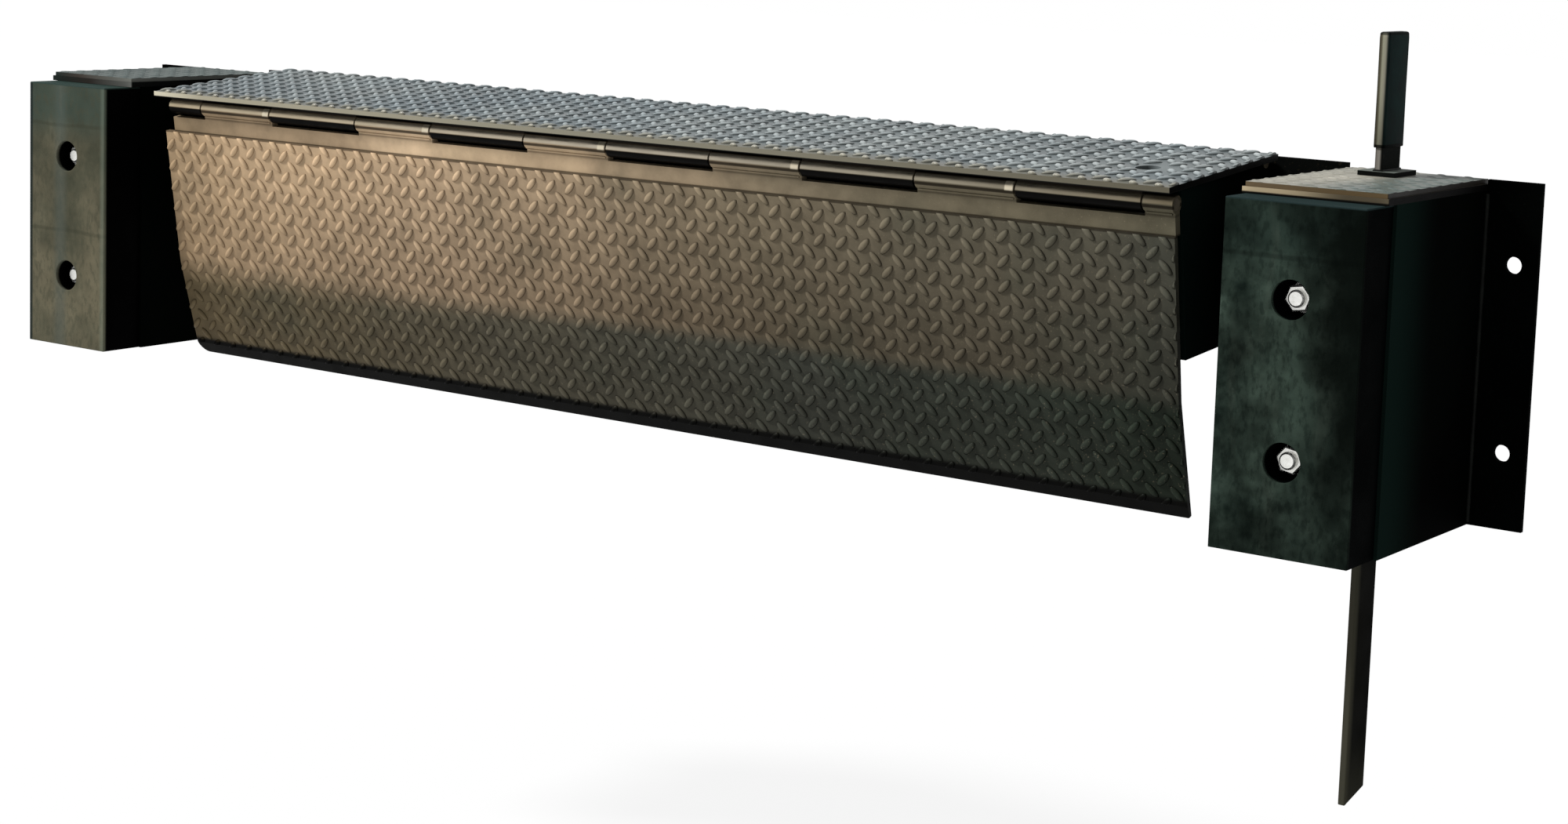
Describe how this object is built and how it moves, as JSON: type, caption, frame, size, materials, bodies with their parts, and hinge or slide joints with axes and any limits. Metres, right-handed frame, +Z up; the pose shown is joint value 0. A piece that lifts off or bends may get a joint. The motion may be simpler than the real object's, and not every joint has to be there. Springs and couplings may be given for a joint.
{
  "type": "edge-of-dock leveler",
  "caption": "Hinged tread-plate ramp with a hanging lip between two bumper blocks, bolted to a dock face to bridge the gap to a truck bed; a lift-out bar hangs in one block.",
  "frame": {"origin": "middle of the mounting channel's back face, in the plane of the dock face; the dock level is 126 mm above it", "axes": "+X along the dock edge, +Y into the dock face, +Z up"},
  "size_m": [2.526, 0.363, 1.002],
  "materials": {
    "frame_paint": "satin black paint, worn",
    "rubber": "scuffed moulded rubber",
    "cap_tread": "glossy dark paint on tread plate",
    "deck_tread": "dark paint on tread plate, worn on the lugs",
    "lip_paint": "dark bronze-toned paint on tread plate",
    "hinge_rod": "plain steel rod, dulled",
    "handle_paint": "satin black paint",
    "grip": "dipped vinyl grip"
  },
  "bodies": {
    "frame": {"mounting_channel": "frame_paint", "frame_hinge_leaf": "frame_paint", "ramp_hinge_rod": "hinge_rod", "left_end_gusset": "frame_paint", "right_end_gusset": "frame_paint", "left_inner_wall": "frame_paint", "left_outer_wall": "frame_paint", "left_front_plate": "frame_paint", "left_box_top": "frame_paint", "left_tread_cap": "cap_tread", "left_wall_flange": "frame_paint", "left_bumper": "rubber", "right_inner_wall": "frame_paint", "right_outer_wall": "frame_paint", "right_front_plate": "frame_paint", "right_box_top": "frame_paint", "right_tread_cap": "cap_tread", "right_wall_flange": "frame_paint", "right_bumper": "rubber"},
    "ramp": {"deck_plate": "deck_tread", "ramp_rear_leaf": "frame_paint", "ramp_front_leaf": "frame_paint", "lip_hinge_rod": "hinge_rod", "ramp_rib_1": "frame_paint", "ramp_rib_2": "frame_paint", "ramp_rib_3": "frame_paint", "ramp_rib_4": "frame_paint", "ramp_rib_5": "frame_paint", "ramp_rib_6": "frame_paint"},
    "lip": {"lip_tread_plate": "lip_paint", "lip_hinge_leaf": "lip_paint"},
    "handle": {"handle_bar": "handle_paint", "handle_grip": "grip", "handle_collar": "handle_paint"}
  },
  "joints": [
    {"name": "ramp_hinge", "type": "hinge", "parent": "frame", "child": "ramp", "pos_m": [0, -0.02, 0.124], "axis": [-1, 0, 0], "range_deg": [0, 50]},
    {"name": "lip_hinge", "type": "hinge", "parent": "ramp", "child": "lip", "pos_m": [0, -0.3121, 0.08941], "axis": [-1, 0, 0], "range_deg": [0, 90]},
    {"name": "handle_lift", "type": "slide", "parent": "frame", "child": "handle", "axis": [0, 0, 1], "range_m": [0, 0.83]}
  ]
}
